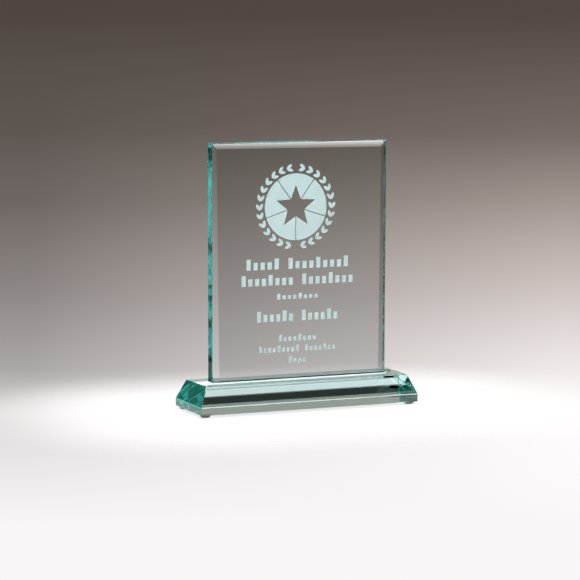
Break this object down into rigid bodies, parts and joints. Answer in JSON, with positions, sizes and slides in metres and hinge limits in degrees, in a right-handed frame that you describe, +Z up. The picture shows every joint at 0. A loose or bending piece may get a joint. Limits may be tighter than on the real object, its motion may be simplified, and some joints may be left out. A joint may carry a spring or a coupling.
{
  "type": "jade glass award",
  "caption": "Upright rectangular jade glass plate with bevelled front edges and a sand-carved wreath emblem, bonded to a bevelled glass base on clear bumper feet.",
  "frame": {"origin": "on the table, under the middle of the base, level with the treads of the feet", "axes": "+Z up; -Y is the front, which the bevels and the reader face; +X is to the reader's right"},
  "size_m": [0.157, 0.047, 0.1779],
  "materials": {
    "base_glass": "polished thick float glass with a green cast",
    "plate_glass": "polished float glass, with frosted sand-carved recesses in the back",
    "adhesive": "clear ultraviolet-cured adhesive",
    "bumper": "clear soft polyurethane"
  },
  "bodies": {
    "root": {"base_block": "base_glass", "award_plate": "plate_glass", "bond_film": "adhesive", "foot_front_left": "bumper", "foot_front_right": "bumper", "foot_back_left": "bumper", "foot_back_right": "bumper"}
  },
  "joints": []
}
